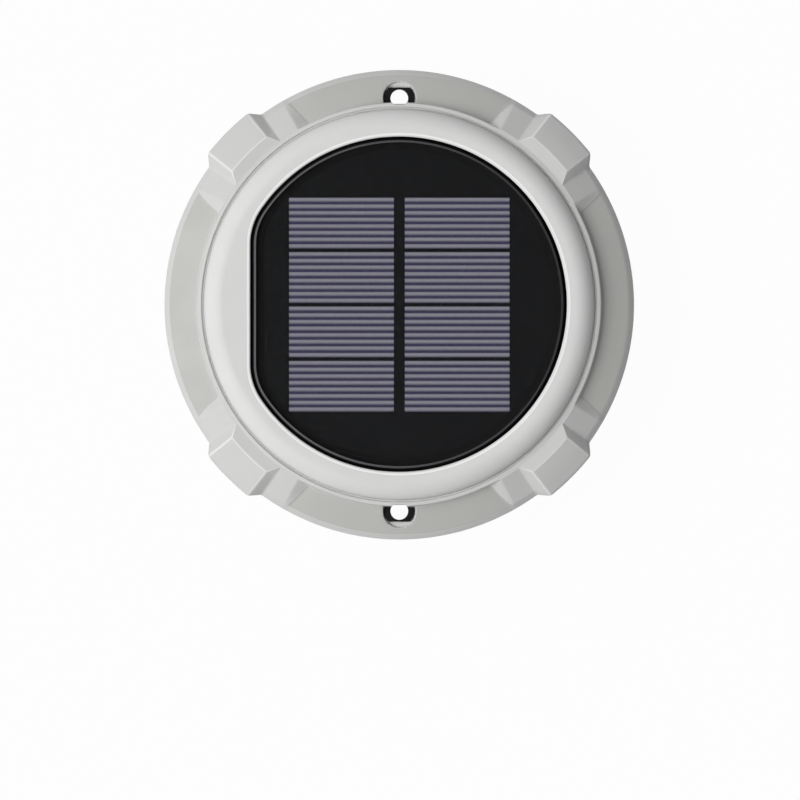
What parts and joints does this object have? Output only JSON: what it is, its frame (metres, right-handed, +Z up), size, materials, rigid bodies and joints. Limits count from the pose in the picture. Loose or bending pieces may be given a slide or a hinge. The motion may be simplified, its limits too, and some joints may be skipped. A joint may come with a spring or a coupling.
{
  "type": "floating pool light",
  "caption": "Round floating solar pool light: grip ring with raised pads and tether eyelets, domed solar panel deck, twist-off frosted lens bowl and a power button underneath.",
  "frame": {"origin": "centre of the bowl's foot, on the surface it stands on", "axes": "+Z up through the solar panel, +Y towards one eyelet, -X towards the panel's straight side"},
  "size_m": [0.1542, 0.1542, 0.0492],
  "materials": {
    "grey_plastic": "fine satin moulding",
    "white_plastic": "satin",
    "black_plastic": "satin",
    "black_rubber": "matt",
    "clear_cover": "clear polished cover over a black panel",
    "solar_silicon": "dark silicon with printed silver fingers",
    "frosted_lens": "frosted translucent",
    "circuit_white": "white solder mask",
    "steel": "plain stainless",
    "spring_metal": "nickel plated",
    "battery_wrap": null,
    "ferrite": "matt",
    "wire_red": "satin",
    "wire_black": "satin",
    "button_silicone": "soft matt"
  },
  "bodies": {
    "bowl": {"lens_bowl": "frosted_lens", "bowl_seal": "black_rubber"},
    "deck": {"grip_ring": "grey_plastic", "solar_bezel": "grey_plastic", "panel_cover": "clear_cover", "panel_seal": "black_rubber", "panel_board": "black_plastic", "deck_gasket": "black_rubber", "carrier_plate": "white_plastic", "circuit_board": "circuit_white", "battery_holder": "black_plastic", "battery_cell": "battery_wrap", "contact_spring": "spring_metal", "contact_plate_negative": "spring_metal", "contact_plate_positive": "spring_metal", "controller_chip": "black_plastic", "boost_coil": "ferrite", "storage_capacitor": "black_plastic", "panel_plug": "white_plastic", "panel_wire_positive": "wire_red", "panel_wire_negative": "wire_black", "switch_body": "black_plastic", "eyelet_liner_north": "black_rubber", "eyelet_liner_south": "black_rubber", "solar_cell_1": "solar_silicon", "solar_cell_2": "solar_silicon", "solar_cell_3": "solar_silicon", "solar_cell_4": "solar_silicon", "solar_cell_5": "solar_silicon", "solar_cell_6": "solar_silicon", "solar_cell_7": "solar_silicon", "solar_cell_8": "solar_silicon", "colour_led_1": "white_plastic", "colour_led_2": "white_plastic", "colour_led_3": "white_plastic", "colour_led_4": "white_plastic", "colour_led_5": "white_plastic", "colour_led_6": "white_plastic", "deck_screw_1": "steel", "carrier_screw_1": "steel", "board_screw_1": "steel", "deck_screw_2": "steel", "carrier_screw_2": "steel", "board_screw_2": "steel", "deck_screw_3": "steel", "carrier_screw_3": "steel", "board_screw_3": "steel", "deck_screw_4": "steel", "carrier_screw_4": "steel", "board_screw_4": "steel"},
    "button": {"power_button": "button_silicone", "button_seal": "black_rubber"},
    "plunger": {"switch_plunger": "white_plastic"}
  },
  "joints": [
    {"name": "deck_twist", "type": "hinge", "parent": "bowl", "child": "deck", "pos_m": [0, 0, 0.0372], "axis": [0, 0, 1], "range_deg": [0, 30]},
    {"name": "button_press", "type": "slide", "parent": "bowl", "child": "button", "axis": [0, 0, 1], "range_m": [0, 0.002], "stiffness_N_per_m": 400},
    {"name": "plunger_travel", "type": "slide", "parent": "deck", "child": "plunger", "axis": [0, 0, 1], "range_m": [0, 0.002], "stiffness_N_per_m": 200}
  ],
  "couplings": [
    {"joint": "plunger_travel", "follows": "button_press", "ratio": 1}
  ]
}
